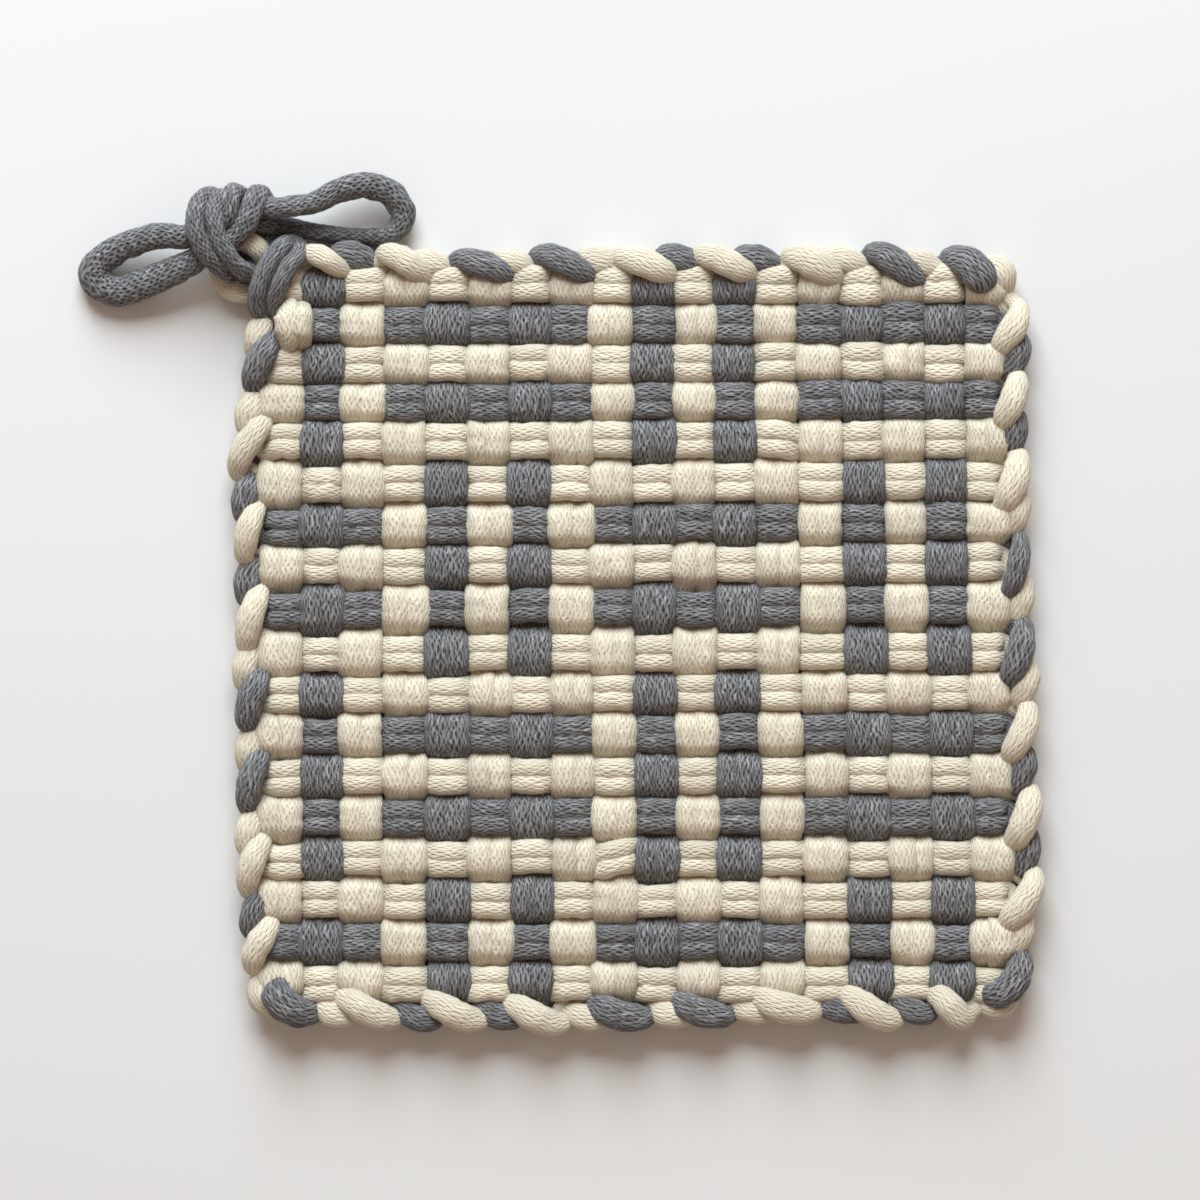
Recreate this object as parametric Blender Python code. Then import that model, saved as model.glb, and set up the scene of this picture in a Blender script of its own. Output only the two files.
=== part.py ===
"""Woven potholder: eighteen loops each way, a chained edge, a corner loop and its tie.

X runs to the right along the rows, Y up along the columns, Z up off the table. Every size below is in
millimetres, measured about the middle of the weave, and the whole part is then centred on its footprint.
"""

import collections
import math

import bmesh
import bpy
from mathutils import Vector

MM = 0.001

# A loop is two strands side by side, woven as one band. breadth is its share of the weave's side.
Loop = collections.namedtuple("Loop", "colour breadth")
WARP = (
    Loop("cream", 1.12), Loop("grey", 0.84), Loop("cream", 1.04), Loop("cream", 1.03), Loop("grey", 1.02),
    Loop("cream", 1.00), Loop("grey", 0.98), Loop("cream", 0.99), Loop("cream", 1.02), Loop("grey", 0.98),
    Loop("cream", 0.98), Loop("grey", 1.00), Loop("cream", 1.00), Loop("cream", 1.14), Loop("grey", 0.93),
    Loop("cream", 1.03), Loop("grey", 0.94), Loop("cream", 0.96),
)
WEFT = (
    Loop("cream", 0.99), Loop("grey", 0.94), Loop("cream", 0.94), Loop("grey", 0.91), Loop("cream", 1.01),
    Loop("cream", 1.07), Loop("grey", 0.95), Loop("cream", 0.99), Loop("grey", 1.10), Loop("cream", 1.10),
    Loop("cream", 0.91), Loop("grey", 1.03), Loop("cream", 1.02), Loop("grey", 1.03), Loop("cream", 0.97),
    Loop("cream", 1.04), Loop("grey", 1.00), Loop("cream", 0.95),
)

# The weave's outline. The top row is narrower, and the upper rows climb to the right.
WEAVE_LEFT = -71.9
WEAVE_RIGHT = 70.0
WEAVE_TOP = 70.3
WEAVE_BOTTOM = -69.6
TOP_NARROWING = 1.0
ROW_CLIMB = 0.9
ROW_CLIMB_PEAK = 6.75

BAND_THICK = 3.4
PIECE_GAP = 0.3
FLOAT_SHARE = 0.80
BAND_END_INSET = 1.4

# The chained edge is a ring around the weave, one row for each side, clockwise from the top left. start
# is the side's first corner in shares across and down, and along is the way it runs in plan.
Side = collections.namedtuple("Side", "name start along breadth swell corner_reach")
SIDES = (
    Side("top", (0, 0), (1, 0), 5.1, 0.3, 6.0),
    Side("right", (1, 0), (0, -1), 6.3, 1.3, 6.4),
    Side("bottom", (1, 1), (-1, 0), 5.8, 0.5, 6.0),
    Side("left", (0, 1), (0, 1), 5.6, 0.8, 2.6),
)
EDGE_THICK = 8.4
EDGE_INNER_INSET = BAND_END_INSET - PIECE_GAP
INNER_CORNER_RADIUS = 0.5
STATIONS_PER_SIDE = 4
STATIONS_PER_CORNER = 3
# Outline of the ring's section: share of its breadth from the inner wall, and share of its height.
RING_SECTION = (
    (0.00, 0.28), (0.00, 0.72), (0.26, 1.00), (0.74, 1.00),
    (1.00, 0.72), (1.00, 0.28), (0.74, 0.00), (0.26, 0.00),
)

# The last cream bight, drawn out of the top left corner to hold the tie.
END_LOOP_DIAMETER = 4.0
END_LOOP_ROUTE = (
    (-72.6, 75.3, 5.4), (-75.4, 75.6, 5.6), (-78.6, 74.4, 4.6), (-80.8, 71.9, 3.2), (-81.2, 68.9, 2.6),
    (-80.2, 66.4, 2.6), (-78.6, 65.0, 3.0), (-77.0, 64.4, 3.4),
)

# The tie is one closed grey loop in a half knot: two hooks of doubled strand, each ending in a bow.
TIE_DIAMETER = 5.0
LEFT_BOW_ROUTE = (
    (-85.7, 75.5, 7.2), (-90.6, 75.9, 6.4), (-97.2, 74.0, 4.6), (-102.6, 71.2, 3.2), (-104.1, 68.2, 2.8),
    (-101.4, 65.3, 2.8), (-97.6, 64.9, 3.2), (-90.8, 67.2, 5.0), (-84.3, 69.8, 6.4),
)
RIGHT_BOW_ROUTE = (
    (-67.0, 80.9, 8.0), (-61.2, 81.8, 7.4), (-56.2, 84.2, 7.0), (-51.4, 85.2, 6.0), (-47.0, 83.9, 4.8),
    (-44.5, 80.6, 3.6), (-45.4, 77.8, 2.9), (-49.6, 77.2, 2.7), (-56.2, 77.4, 2.8), (-61.6, 77.6, 2.9),
    (-67.2, 78.1, 3.0),
)
# Each hook's route has a fourth column: how thick its doubled strand is there.
LEFT_HOOK_ROUTE = (
    (-78.4, 70.6, 4.0, 4.6), (-75.2, 76.0, 3.0, 5.0), (-71.2, 79.0, 3.8, 6.2), (-70.8, 82.6, 6.6, 6.8),
    (-74.6, 81.2, 9.4, 7.2), (-79.4, 75.2, 8.2, 7.2), (-83.8, 72.9, 6.8, 7.2),
)
RIGHT_HOOK_ROUTE = (
    (-78.0, 70.2, 4.0, 4.6), (-77.6, 71.4, 9.2, 6.4), (-80.6, 76.2, 10.4, 7.2), (-81.0, 81.0, 8.0, 7.2),
    (-77.6, 82.4, 4.8, 6.8), (-73.6, 80.6, 5.0, 6.8), (-68.8, 79.6, 5.4, 6.8),
)

CREAM = (0.64, 0.57, 0.43)
GREY = (0.12, 0.12, 0.125)
COTTON_ROUGHNESS = 0.95


def clear_scene():
    """Remove every object that is already there."""
    for obj in list(bpy.data.objects):
        bpy.data.objects.remove(obj, do_unlink=True)


def new_collection(name):
    collection = bpy.data.collections.new(name)
    bpy.context.scene.collection.children.link(collection)
    return collection


def cotton(name, colour):
    """Matt cotton knit of one colour."""
    material = bpy.data.materials.new(name)
    material.use_nodes = True
    shader = material.node_tree.nodes["Principled BSDF"]
    shader.inputs["Base Color"].default_value = (*colour, 1.0)
    shader.inputs["Roughness"].default_value = COTTON_ROUGHNESS
    shader.inputs["Metallic"].default_value = 0.0
    return material


def add_mesh(name, points, faces, colour, collection):
    """Make one object from points in millimetres and its faces."""
    mesh = bpy.data.meshes.new(name)
    mesh.from_pydata([Vector(point) * MM for point in points], [], faces)
    body = bmesh.new()
    body.from_mesh(mesh)
    bmesh.ops.recalc_face_normals(body, faces=body.faces[:])
    body.to_mesh(mesh)
    body.free()
    mesh.materials.append(cotton(name, colour))
    obj = bpy.data.objects.new(name, mesh)
    collection.objects.link(obj)
    return obj


def loft(sections, closed):
    """Faces that join each section of equally many points to the next one."""
    count = len(sections[0])
    points = [point for section in sections for point in section]
    faces = []
    for index in range(len(sections) if closed else len(sections) - 1):
        here = index * count
        there = (index + 1) % len(sections) * count
        for corner in range(count):
            after = (corner + 1) % count
            faces.append((here + corner, here + after, there + after, there + corner))
    if not closed:
        faces.append(tuple(range(count)))
        faces.append(tuple(range(len(points) - count, len(points))))
    return points, faces


def shares(loops):
    """Where each loop begins across the weave, from 0 to 1, with the far side last."""
    total = sum(loop.breadth for loop in loops)
    marks = [0.0]
    for loop in loops:
        marks.append(marks[-1] + loop.breadth / total)
    return marks


def weave_point(across, down):
    """A place in the weave in plan, from its shares across and down."""
    narrowing = TOP_NARROWING * (1 - down) ** 4
    left = WEAVE_LEFT + narrowing
    right = WEAVE_RIGHT - narrowing
    climb = ROW_CLIMB * (across - 0.5) * ROW_CLIMB_PEAK * down * (1 - down) ** 2
    x = left + (right - left) * across
    y = WEAVE_TOP + (WEAVE_BOTTOM - WEAVE_TOP) * down + climb
    return x, y


def float_span(marks, index):
    """The two edges of a band, or the two ends of its float over that band."""
    slack = (marks[index + 1] - marks[index]) * (1 - FLOAT_SHARE) / 2
    inset = BAND_END_INSET / (WEAVE_RIGHT - WEAVE_LEFT)
    low = inset if index == 0 else marks[index] + slack
    high = 1 - inset if index == len(marks) - 2 else marks[index + 1] - slack
    return low, high


def band_section(corners, level):
    """A band's section through two places in plan, with its underside at a level."""
    (x0, y0), (x1, y1) = corners
    top = level + BAND_THICK
    return [(x0, y0, level), (x1, y1, level), (x1, y1, top), (x0, y0, top)]


def woven_band(name, index, is_warp, columns, rows, colour, collection):
    """One doubled loop, over and under the bands that cross it."""
    upper = BAND_THICK + PIECE_GAP
    own = float_span(columns if is_warp else rows, index)
    sections = []
    for crossing in range(len(WEFT if is_warp else WARP)):
        weft_on_top = (index + crossing) % 2 == 0
        level = upper if weft_on_top != is_warp else 0.0
        for place in float_span(rows if is_warp else columns, crossing):
            if is_warp:
                corners = [weave_point(own[0], place), weave_point(own[1], place)]
            else:
                corners = [weave_point(place, own[0]), weave_point(place, own[1])]
            sections.append(band_section(corners, level))
    points, faces = loft(sections, closed=False)
    return add_mesh(name, points, faces, colour, collection)


def inner_wall(side, share):
    """A place on the ring's inner wall, from a side's share along it, and the way out of the mat there."""
    outward = Vector((-side.along[1], side.along[0]))
    across = side.start[0] + side.along[0] * share
    down = side.start[1] - side.along[1] * share
    foot = Vector(weave_point(across, down)) - outward * EDGE_INNER_INSET
    to_corner = EDGE_INNER_INSET + INNER_CORNER_RADIUS
    if share == 0:
        foot += Vector(side.along) * to_corner
    if share == 1:
        foot -= Vector(side.along) * to_corner
    return foot, outward


def ring_section(foot, outward, breadth):
    """The edge's section, from its inner wall outward."""
    section = []
    for share, height in RING_SECTION:
        place = foot + outward * (breadth * share)
        section.append((place.x, place.y, EDGE_THICK * height))
    return section


def corner_sections(side, following):
    """The sections that turn the corner from one side of the ring to the next."""
    foot, outward = inner_wall(side, 1.0)
    turned = inner_wall(following, 0.0)[1]
    centre = foot - outward * INNER_CORNER_RADIUS
    sections = []
    for step in range(1, STATIONS_PER_CORNER + 1):
        share = step / (STATIONS_PER_CORNER + 1)
        direction = outward.lerp(turned, share).normalized()
        breadth = side.breadth + (following.breadth - side.breadth) * share
        breadth += (side.corner_reach - breadth) * math.sin(math.pi * share)
        sections.append(ring_section(centre + direction * INNER_CORNER_RADIUS, direction, breadth))
    return sections


def chained_edge(collection):
    """The ring of bights, each drawn through the last, that binds the weave."""
    sections = []
    for index, side in enumerate(SIDES):
        for station in range(STATIONS_PER_SIDE + 1):
            share = station / STATIONS_PER_SIDE
            foot, outward = inner_wall(side, share)
            breadth = side.breadth + side.swell * math.sin(math.pi * share)
            sections.append(ring_section(foot, outward, breadth))
        sections += corner_sections(side, SIDES[(index + 1) % len(SIDES)])
    points, faces = loft(sections, closed=True)
    return add_mesh("chained_edge", points, faces, CREAM, collection)


def tube(name, route, colour, collection):
    """A round tube along a route of places and diameters, as a mesh with its caps closed."""
    curve = bpy.data.curves.new(name, "CURVE")
    curve.dimensions = "3D"
    curve.bevel_depth = MM / 2
    curve.bevel_resolution = 2
    curve.use_fill_caps = True
    spline = curve.splines.new("POLY")
    spline.points.add(len(route) - 1)
    for target, (x, y, z, diameter) in zip(spline.points, route):
        target.co = (x * MM, y * MM, z * MM, 1.0)
        target.radius = diameter
    drawn = bpy.data.objects.new(name + "_route", curve)
    collection.objects.link(drawn)
    bpy.context.view_layer.update()
    evaluated = drawn.evaluated_get(bpy.context.evaluated_depsgraph_get())
    mesh = bpy.data.meshes.new_from_object(evaluated)
    mesh.name = name
    body = bmesh.new()
    body.from_mesh(mesh)
    bmesh.ops.remove_doubles(body, verts=body.verts[:], dist=0.001 * MM)
    bmesh.ops.recalc_face_normals(body, faces=body.faces[:])
    body.to_mesh(mesh)
    body.free()
    mesh.materials.clear()
    mesh.materials.append(cotton(name, colour))
    obj = bpy.data.objects.new(name, mesh)
    collection.objects.link(obj)
    bpy.data.objects.remove(drawn, do_unlink=True)
    bpy.data.curves.remove(curve)
    return obj


def even_tube(name, route, diameter, colour, collection):
    """A tube of one diameter along a route of places."""
    return tube(name, [(*place, diameter) for place in route], colour, collection)


def boolean(target, tool, operation):
    """Join a tool to the target or cut it away."""
    step = target.modifiers.new(tool.name, "BOOLEAN")
    step.operation = operation
    step.solver = "EXACT"
    step.use_self = True
    step.object = tool
    tool.hide_render = True
    tool.display_type = "WIRE"


def lengthened(route, reach):
    """The route with its two ends carried straight on by a reach."""
    points = [Vector(place) for place in route]
    first = points[0] + (points[0] - points[1]).normalized() * reach
    last = points[-1] + (points[-1] - points[-2]).normalized() * reach
    return [first, *points[1:-1], last]


def half_knot(collection, tools):
    """The knot's outer form: two hooks of doubled strand, open where the corner loop passes."""
    knot = tube("tie_knot", RIGHT_HOOK_ROUTE, GREY, collection)
    other = tube("left_hook", LEFT_HOOK_ROUTE, GREY, tools)
    through = lengthened(END_LOOP_ROUTE, END_LOOP_DIAMETER)
    passage = even_tube("loop_passage", through, END_LOOP_DIAMETER + 3 * PIECE_GAP, GREY, tools)
    boolean(knot, other, "UNION")
    boolean(knot, passage, "DIFFERENCE")
    return knot


def centre_on_footprint(pieces, cloth):
    """Move the part so that the cloth's footprint is centred on the origin."""
    places = [corner for obj in cloth for corner in obj.bound_box]
    middle_x = (min(place[0] for place in places) + max(place[0] for place in places)) / 2
    middle_y = (min(place[1] for place in places) + max(place[1] for place in places)) / 2
    for obj in pieces:
        obj.location = (-middle_x, -middle_y, 0.0)
    return middle_x, middle_y


def build():
    """Build the potholder, piece by piece."""
    clear_scene()
    parts = new_collection("woven_potholder")
    tools = new_collection("knot_tools")
    columns = shares(WARP)
    rows = shares(WEFT)
    colours = {"cream": CREAM, "grey": GREY}
    cloth = []
    for index, loop in enumerate(WARP):
        name = f"warp_{index + 1:02d}"
        cloth.append(woven_band(name, index, True, columns, rows, colours[loop.colour], parts))
    for index, loop in enumerate(WEFT):
        name = f"weft_{index + 1:02d}"
        cloth.append(woven_band(name, index, False, columns, rows, colours[loop.colour], parts))
    cloth.append(chained_edge(parts))
    cloth.append(even_tube("end_loop", END_LOOP_ROUTE, END_LOOP_DIAMETER, CREAM, parts))
    tie = [
        even_tube("tie_bow_left", LEFT_BOW_ROUTE, TIE_DIAMETER, GREY, parts),
        even_tube("tie_bow_right", RIGHT_BOW_ROUTE, TIE_DIAMETER, GREY, parts),
        half_knot(parts, tools),
    ]
    bpy.context.view_layer.update()
    centre_on_footprint(cloth + tie + list(tools.objects), cloth)


build()
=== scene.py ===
"""The looks of a woven potholder.

Thirty-six knitted cotton loops, cream and grey, are woven over and under each other as they
come off a peg loom. Every loop's two ends are drawn through one another round the edge, which
makes the plaited border, and a grey loop is tied in a bow through the last one to hang it by.
All sizes are in millimetres, and a mesh is scaled to metres when it is made.
"""

import logging
import math
from dataclasses import dataclass, field
from enum import Enum

import bpy
import numpy as np
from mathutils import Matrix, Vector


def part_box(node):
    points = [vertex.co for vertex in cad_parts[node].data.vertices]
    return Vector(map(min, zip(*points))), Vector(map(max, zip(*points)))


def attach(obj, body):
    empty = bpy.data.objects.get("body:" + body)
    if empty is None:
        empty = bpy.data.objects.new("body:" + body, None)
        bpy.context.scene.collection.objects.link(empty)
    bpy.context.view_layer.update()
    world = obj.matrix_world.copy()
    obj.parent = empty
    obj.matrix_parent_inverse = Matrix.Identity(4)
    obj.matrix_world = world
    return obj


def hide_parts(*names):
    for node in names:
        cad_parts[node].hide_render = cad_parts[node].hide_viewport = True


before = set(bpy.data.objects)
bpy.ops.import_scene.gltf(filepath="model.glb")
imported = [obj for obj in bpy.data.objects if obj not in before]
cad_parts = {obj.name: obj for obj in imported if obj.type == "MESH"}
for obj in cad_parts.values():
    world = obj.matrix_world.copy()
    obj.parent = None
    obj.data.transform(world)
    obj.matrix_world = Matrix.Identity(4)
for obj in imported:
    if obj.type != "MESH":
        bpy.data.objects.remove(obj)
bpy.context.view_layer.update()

log = logging.getLogger("potholder")

MM = 0.001
TINY = 1e-12
UPWARDS = np.array([0.0, 0.0, 1.0])
LOOPS_A_SIDE = 18
BODY = "root"
BAKE_MAP = "OFBake"
STITCH_MAP = "Stitches"
# Each section's tone on the mesh: random from strand to strand, and a painted shadow on part of the
# tie.
SHADE = "shade"

Array = np.ndarray
Socket = bpy.types.NodeSocket
Numbers = tuple[float, ...]
Colour = tuple[float, float, float, float]


class Yarn(Enum):
    """The two colours of cotton that the loops are knitted from."""

    CREAM = "cream_cotton"
    GREY = "grey_cotton"


C, G = Yarn.CREAM, Yarn.GREY
WARP_YARNS = (C, G, C, C, G, C, G, C, C, G, C, G, C, C, G, C, G, C)
WEFT_YARNS = (C, G, C, G, C, C, G, C, G, C, C, G, C, G, C, C, G, C)


def placed(name: str, data: bpy.types.ID) -> bpy.types.Object:
    """A new object in the scene, made of a mesh, lamp or camera."""
    made = bpy.data.objects.new(name, data)
    bpy.context.scene.collection.objects.link(made)
    return made


# ---- materials


class Bench:
    """A material's node tree, with short ways to add and link the nodes used here."""

    def __init__(self, name: str) -> None:
        """Start an empty material.

        Args:
            name: The material's name.
        """
        self.material = bpy.data.materials.new(name)
        self.material.use_nodes = True
        self.tree = self.material.node_tree
        self.tree.nodes.clear()

    def add(self, kind: str, inputs: dict | None = None, **settings: object) -> bpy.types.Node:
        """Add a node.

        Args:
            kind: The node's type, without the ShaderNode in front.
            inputs: Values or sockets for the inputs, by name or place.
            **settings: The node's own properties.

        Returns:
            The new node.
        """
        node = self.tree.nodes.new("ShaderNode" + kind)
        for name, value in settings.items():
            setattr(node, name, value)
        for name, value in (inputs or {}).items():
            self.feed(node.inputs[name], value)
        return node

    def feed(self, socket: Socket, value: object) -> None:
        """Link a socket to an input, or set the input's value.

        Args:
            socket: The input.
            value: An output socket, a number or a colour.
        """
        if isinstance(value, Socket):
            self.tree.links.new(value, socket)
        else:
            socket.default_value = value

    def sum(self, operation: str, *values: object) -> Socket:
        """One number worked out from others, by a Math node's operation."""
        return self.add("Math", dict(enumerate(values)), operation=operation).outputs[0]

    def noise(self, place: object, scale: float, detail: float) -> bpy.types.Node:
        """A noise texture over a place, as its node."""
        return self.add("TexNoise", {"Vector": place, "Scale": scale, "Detail": detail})

    def ramp(self, value: object, low: float, high: float, start: float = 0.0, end: float = 1.0
             ) -> Socket:
        """A value that goes smoothly from start to end, as another goes from low to high."""
        inputs = {0: value, 1: low, 2: high, 3: start, 4: end}
        return self.add("MapRange", inputs, interpolation_type="SMOOTHSTEP").outputs[0]

    def mix(self, share: object, first: object, second: object, blend: str = "MIX") -> Socket:
        """Mix two colours.

        Args:
            share: How much of the second there is.
            first: The colour underneath.
            second: The colour laid over it.
            blend: The way the second is laid on.

        Returns:
            The mixed colour's socket.
        """
        node = self.add("Mix", data_type="RGBA", blend_type=blend)
        for place, value in ((0, share), (6, first), (7, second)):
            self.feed(node.inputs[place], value)
        return node.outputs[2]


@dataclass(frozen=True)
class KnitCotton:
    """The finish of a knitted cotton tube: wavy yarns that part round slits, row after row.

    heather and ply are how far the tone changes from yarn to yarn and from ply to ply. sway is
    how far a yarn swings to each side, in wales, and relief the stitches' height in metres. The
    slit colour is painted shade in the slits between the yarns, and the highlight colour is a
    painted highlight along the yarns' crests, which the yarns' own light flecks take as well.
    """

    name: str
    yarn: Colour
    highlight_and_fleck: Colour
    slit_shade: Colour
    heather: float
    flecks: float
    ply: float
    sway: float = 0.26
    relief: float = 0.00022
    roughness: float = 0.92
    sheen: float = 0.12
    wander_scale: float = 360.0
    grain_scale: float = 2400.0
    patch_scale: float = 170.0
    wander_across: float = 2.8
    wander_along: float = 1.4
    slit_depth: float = 0.2
    grain_depth: float = 0.30

    def make(self) -> bpy.types.Material:
        """Build the material.

        Returns:
            The new material.
        """
        bench = Bench(self.name)
        place = bench.add("TexCoord").outputs["Object"]
        stitches = bench.add("SeparateXYZ", {0: bench.add("UVMap", uv_map=STITCH_MAP).outputs[0]})

        # A place among the stitches, which wanders a little from the even grid.
        wander = bench.noise(place, self.wander_scale, 3.0).outputs["Color"]
        drift = bench.add("SeparateColor", {0: wander}).outputs
        across = bench.sum("MULTIPLY_ADD", drift[0], self.wander_across, stitches.outputs[0])
        along = bench.sum("MULTIPLY_ADD", drift[1], self.wander_along, stitches.outputs[1])

        # How far from the nearest yarn that is, where every other yarn swings the other way.
        wave = bench.sum("SINE", bench.sum("MULTIPLY", along, math.tau))
        swing = bench.sum("MULTIPLY", wave, self.sway)
        even = bench.sum("PINGPONG", bench.sum("SUBTRACT", across, swing), 1.0)
        odd = bench.sum("PINGPONG", bench.sum("ADD", bench.sum("ADD", across, swing), 1.0), 1.0)
        away = bench.sum("MINIMUM", even, odd)

        def drawn_out(finer: float, layer: float, scale: float, detail: float) -> Socket:
            """A noise along the yarns, finer across them. Its layer picks a slice."""
            lie = {0: bench.sum("MULTIPLY", across, finer), 1: along, 2: layer}
            return bench.noise(bench.add("CombineXYZ", lie).outputs[0], scale, detail).outputs[0]

        def either_way(noise: Socket, low: float, spread: float) -> Socket:
            """A tone from 1 - spread to 1 + spread, as the noise goes from low to 1 - low."""
            return bench.ramp(noise, low, 1.0 - low, 1.0 - spread, 1.0 + spread)

        # The yarns' colour: painted shade in the slits between them, open in patches, and a painted
        # highlight along their crests, with the yarns' own light flecks.
        grain = bench.noise(place, self.grain_scale, 3.0).outputs[0]
        patches = bench.noise(place, self.patch_scale, 3.0).outputs[0]
        # gap is where two yarns part: it takes the painted slit shade below, and a dip in the bump.
        gap = bench.ramp(away, 0.52, 0.47 + self.sway)
        gap = bench.sum("MULTIPLY", gap, bench.ramp(patches, 0.35, 0.60, 0.30, 1.0))
        fleck = bench.ramp(drawn_out(finer=1.5, layer=7.3, scale=1.6, detail=1.0), 0.56, 0.67)
        fleck = bench.sum("MULTIPLY", fleck, self.flecks)
        # The larger of a painted highlight along each yarn's crest and the yarn's own light flecks.
        light = bench.sum("MAXIMUM", bench.ramp(away, 0.50, 0.10, 0.0, 0.7), fleck)
        colour = bench.mix(light, self.yarn, self.highlight_and_fleck)
        # Painted shade in the slits.
        colour = bench.mix(gap, colour, self.slit_shade)

        # The tone of each fibre, yarn and ply, and the mesh's shade attribute: each strand's random
        # tone, and the painted shadow on the tie's low strand.
        mottle = either_way(grain, 0.25, 0.5 * self.heather)
        strand = drawn_out(finer=0.9, layer=0.0, scale=1.1, detail=2.0)
        strand = either_way(strand, 0.30, self.heather)
        fine = either_way(drawn_out(finer=2.6, layer=3.1, scale=1.0, detail=1.0), 0.38, self.ply)
        shade = bench.add("Attribute", attribute_name=SHADE).outputs["Fac"]
        tone = bench.sum("MULTIPLY", mottle, strand)
        tone = bench.sum("MULTIPLY", tone, bench.sum("MULTIPLY", fine, shade))
        tint = bench.add("CombineColor", {0: tone, 1: tone, 2: tone}).outputs[0]
        colour = bench.mix(1.0, colour, tint, "MULTIPLY")

        dip = bench.sum("MULTIPLY", gap, self.slit_depth)
        height = bench.sum("SUBTRACT", bench.ramp(away, 0.74, 0.10), dip)
        height = bench.sum("MULTIPLY_ADD", grain, self.grain_depth, height)
        bump = bench.add("Bump", {"Height": height, "Strength": 1.0, "Distance": self.relief})
        cloth = bench.add(
            "BsdfPrincipled",
            {
                "Base Color": colour,
                "Roughness": self.roughness,
                "Normal": bump.outputs[0],
                "Sheen Weight": self.sheen,
                "Sheen Roughness": 0.6,
                "Specular IOR Level": 0.25,
            },
        )
        bench.add("OutputMaterial", {0: cloth.outputs[0]})
        return bench.material


CREAM_COTTON = KnitCotton(
    "cream_cotton_knit",
    yarn=(0.690, 0.628, 0.502, 1.0),
    highlight_and_fleck=(0.704, 0.649, 0.525, 1.0),
    slit_shade=(0.55, 0.445, 0.315, 1.0),
    heather=0.05,
    flecks=0.3,
    ply=0.07,
    relief=0.00016,
)
GREY_COTTON = KnitCotton(
    "grey_cotton_knit",
    yarn=(0.057, 0.057, 0.062, 1.0),
    highlight_and_fleck=(0.285, 0.285, 0.295, 1.0),
    slit_shade=(0.025, 0.024, 0.028, 1.0),
    heather=0.36,
    flecks=1.0,
    ply=0.24,
)
GREY_TUBE = KnitCotton(
    "grey_cotton_tube",
    yarn=(0.095, 0.095, 0.102, 1.0),
    highlight_and_fleck=(0.24, 0.24, 0.25, 1.0),
    slit_shade=(0.034, 0.033, 0.037, 1.0),
    heather=0.45,
    flecks=0.8,
    ply=0.20,
    sway=0.27,
    relief=0.00036,
)


# ---- strands


def unit(vectors: Array) -> Array:
    """Each vector scaled to length 1."""
    return vectors / np.maximum(np.linalg.norm(vectors, axis=-1, keepdims=True), TINY)


def eased(share: Array) -> Array:
    """A share from 0 to 1 that starts and ends gently."""
    return share * share * (3 - 2 * share)


def run_along(points: Array) -> Array:
    """How far along a line each of its points is."""
    return np.concatenate([[0], np.cumsum(np.linalg.norm(np.diff(points, axis=0), axis=1))])


def turned(vector: Array, axis: Array, angle: float) -> Array:
    """A vector turned round an axis that is at right angles to it."""
    return vector * math.cos(angle) + np.cross(axis, vector) * math.sin(angle)


ROUTE_FINENESS = 24


def smooth_route(points: Array, before: Array, after: Array, step: float) -> Array:
    """A smooth curve through points, in even steps.

    Args:
        points: The rows that the curve passes: x, y and z, then any sizes that go with them.
        before: The row before the first, which sets the direction there.
        after: The row after the last.
        step: The length of a step.

    Returns:
        Rows like those of points, a step apart.
    """
    knots = np.vstack([before, points, after])
    fine, share = [], np.linspace(0, 1, ROUTE_FINENESS, endpoint=False)[:, None]
    for a, b, c, d in zip(knots, knots[1:], knots[2:], knots[3:]):
        square, cube = 2 * a - 5 * b + 4 * c - d, 3 * (b - c) + d - a
        fine.append(b + 0.5 * share * (c - a + share * (square + share * cube)))
    fine = np.vstack([*fine, points[-1:]])
    run = run_along(fine[:, :3])
    stops = np.linspace(0, run[-1], max(3, round(run[-1] / step)) + 1)
    return np.stack([np.interp(stops, run, column) for column in fine.T], 1)


def carried_up(centres: Array, first_up: Array) -> Array:
    """The up direction of each section, carried along a route without twisting.

    Args:
        centres: The route's points.
        first_up: The direction at its first point.

    Returns:
        One direction for each point, at right angles to the route.
    """
    ways = unit(np.gradient(centres, axis=0))
    up = first_up - ways[0] * (first_up @ ways[0])
    ups = [up / np.linalg.norm(up)]
    for here, there, way, next_way in zip(centres, centres[1:], ways, ways[1:]):
        mirror = there - here
        size = mirror @ mirror
        up = ups[-1] - 2 * (mirror @ ups[-1]) / size * mirror
        way = way - 2 * (mirror @ way) / size * mirror
        mirror = next_way - way
        size = mirror @ mirror
        if size > TINY:
            up = up - 2 * (mirror @ up) / size * mirror
        up = up - next_way * (up @ next_way)
        ups.append(up / np.linalg.norm(up))
    return np.array(ups)


def turn_between(start: Array, end: Array, axis: Array) -> float:
    """The angle from one direction to another, round an axis."""
    end = unit(end - axis * (end @ axis))
    return math.atan2(np.cross(start, end) @ axis, start @ end)


LEVEL_SHARES = (0.16, 0.30, 0.44)


def settled_up(centres: Array, first_up: Array, last_up: Array, either: bool) -> Array:
    """As carried_up, but level over the first half, and twisted in the rest to end at last_up.

    Args:
        centres: The route's points.
        first_up: The direction at its first point.
        last_up: The direction wanted at its last point.
        either: Whether its opposite does as well, when that is nearer.

    Returns:
        One direction for each point.
    """
    ups, ways = carried_up(centres, first_up), unit(np.gradient(centres, axis=0))
    marks, twists = [0.0], [0.0]
    for share in LEVEL_SHARES:
        i = round(share * (len(centres) - 1))
        twist = turn_between(ups[i], UPWARDS, ways[i])
        marks.append(share)
        twists.append(twist - math.pi * round((twist - twists[-1]) / math.pi))
    twist = turn_between(ups[-1], last_up, ways[-1])
    turn = math.pi if either else math.tau
    marks.append(1.0)
    twists.append(twist - turn * round((twist - twists[-1]) / turn))
    twists = np.interp(np.linspace(0, 1, len(centres)), marks, twists)
    return np.array([turned(*section) for section in zip(ups, ways, twists)])


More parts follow.
